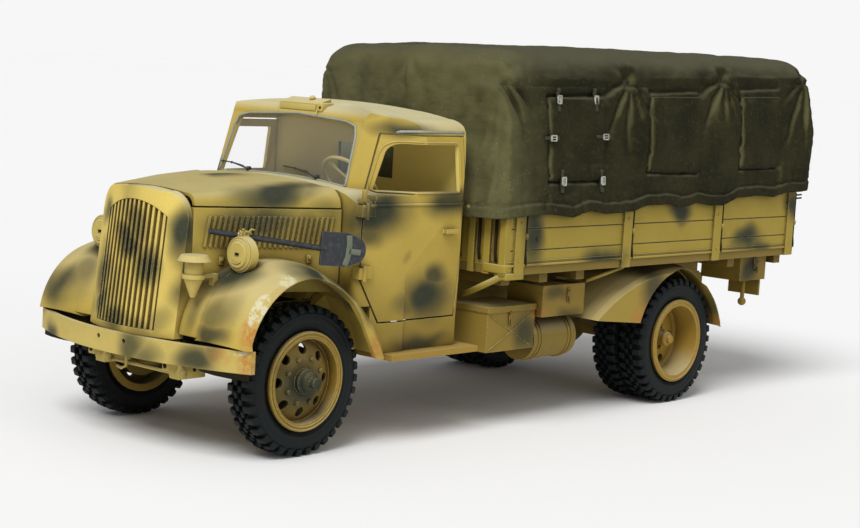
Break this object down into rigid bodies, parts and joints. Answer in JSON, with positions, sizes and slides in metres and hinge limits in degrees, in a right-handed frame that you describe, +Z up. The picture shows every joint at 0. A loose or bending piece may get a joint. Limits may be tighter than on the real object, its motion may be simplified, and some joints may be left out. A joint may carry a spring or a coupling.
{
  "type": "scale model cargo truck",
  "caption": "Scale model of a military cargo truck: rounded radiator shell, closed cab, plank bed under a canvas cover, twin rear wheels, opening doors and bonnet.",
  "frame": {"origin": "centre of the truck's bounding box, on the ground", "axes": "+X towards the bumper, +Y to the truck's left, +Z up"},
  "size_m": [0.1854, 0.074, 0.0782],
  "materials": {
    "sand_paint": "matt sand-yellow paint with soft grey-green patches",
    "ochre_rim": "matt ochre paint",
    "tyre": "dark blue-black rubber",
    "canvas": "dark olive canvas",
    "bed_paint": "matt sand-yellow paint over moulded planks",
    "frame_paint": "matt dark sand paint",
    "black_iron": "blackened iron",
    "glass": "clear pane",
    "lamp_paint": "matt pale sand paint",
    "seat_cover": "matt ochre seat cover"
  },
  "bodies": {
    "truck": {"chassis_frame": "frame_paint", "front_axle": "frame_paint", "rear_axle": "frame_paint", "front_springs": "frame_paint", "rear_springs": "frame_paint", "driveline": "frame_paint", "engine": "frame_paint", "tow_bar": "frame_paint", "radiator": "frame_paint", "canvas": "canvas", "windscreen": "glass", "shovel": "black_iron", "headlights": "lamp_paint", "convoy_lamp": "lamp_paint", "roof_sign": "lamp_paint", "seat": "seat_cover", "bed_floor": "bed_paint", "bed_side_left": "bed_paint", "bed_side_right": "bed_paint", "front_board": "bed_paint", "tailgate": "bed_paint", "cab_shell": "sand_paint", "bonnet_side_left": "sand_paint", "bonnet_side_right": "sand_paint", "radiator_shell": "sand_paint", "grille": "sand_paint", "bumper": "sand_paint", "front_fender_left": "sand_paint", "front_fender_right": "sand_paint", "rear_fender_left": "sand_paint", "rear_fender_right": "sand_paint", "running_board_left": "sand_paint", "running_board_right": "sand_paint", "dashboard": "sand_paint", "steering_wheel": "sand_paint", "toolbox_left": "sand_paint", "toolbox_right": "sand_paint", "upper_box": "sand_paint", "air_tank": "sand_paint", "rear_locker_left": "sand_paint", "rear_locker_right": "sand_paint"},
    "bonnet": {"bonnet": "sand_paint"},
    "door_left": {"door_left": "sand_paint"},
    "door_right": {"door_right": "sand_paint"},
    "knuckle_left": {"knuckle_left": "frame_paint"},
    "knuckle_right": {"knuckle_right": "frame_paint"},
    "tie_rod": {"tie_rod": "frame_paint"},
    "wheel_front_left": {"tyre_front_left": "tyre", "rim_front_left": "ochre_rim"},
    "wheel_front_right": {"tyre_front_right": "tyre", "rim_front_right": "ochre_rim"},
    "wheels_rear_left": {"tyres_rear_left": "tyre", "rims_rear_left": "ochre_rim"},
    "wheels_rear_right": {"tyres_rear_right": "tyre", "rims_rear_right": "ochre_rim"}
  },
  "joints": [
    {"name": "bonnet_hinge", "type": "hinge", "parent": "truck", "child": "bonnet", "pos_m": [0.05685, 0, 0.0504], "axis": [0, -1, 0], "range_deg": [0, 50]},
    {"name": "door_left_hinge", "type": "hinge", "parent": "truck", "child": "door_left", "pos_m": [0.05525, 0.02775, 0.042], "axis": [0, 0, -1], "range_deg": [0, 65]},
    {"name": "door_right_hinge", "type": "hinge", "parent": "truck", "child": "door_right", "pos_m": [0.05525, -0.02775, 0.042], "axis": [0, 0, 1], "range_deg": [0, 65]},
    {"name": "steer_left", "type": "hinge", "parent": "truck", "child": "knuckle_left", "pos_m": [0.06775, 0.0176, 0.01427], "axis": [0, 0, 1], "range_deg": [-20, 20]},
    {"name": "steer_right", "type": "hinge", "parent": "truck", "child": "knuckle_right", "pos_m": [0.06775, -0.0176, 0.01427], "axis": [0, 0, 1], "range_deg": [-20, 20]},
    {"name": "tie_rod_pivot", "type": "hinge", "parent": "knuckle_left", "child": "tie_rod", "pos_m": [0.05875, 0.0176, 0.0105], "axis": [0, 0, 1], "range_deg": [-20, 20]},
    {"name": "front_left_spin", "type": "hinge", "parent": "knuckle_left", "child": "wheel_front_left", "pos_m": [0.06775, 0.0232, 0.01427], "axis": [0, 1, 0], "continuous": true},
    {"name": "front_right_spin", "type": "hinge", "parent": "knuckle_right", "child": "wheel_front_right", "pos_m": [0.06775, -0.0232, 0.01427], "axis": [0, 1, 0], "continuous": true},
    {"name": "rear_left_spin", "type": "hinge", "parent": "truck", "child": "wheels_rear_left", "pos_m": [-0.04475, 0.0253, 0.01427], "axis": [0, 1, 0], "continuous": true},
    {"name": "rear_right_spin", "type": "hinge", "parent": "truck", "child": "wheels_rear_right", "pos_m": [-0.04475, -0.0253, 0.01427], "axis": [0, 1, 0], "continuous": true}
  ],
  "couplings": [
    {"joint": "steer_right", "follows": "steer_left", "ratio": 1},
    {"joint": "tie_rod_pivot", "follows": "steer_left", "ratio": -1}
  ]
}
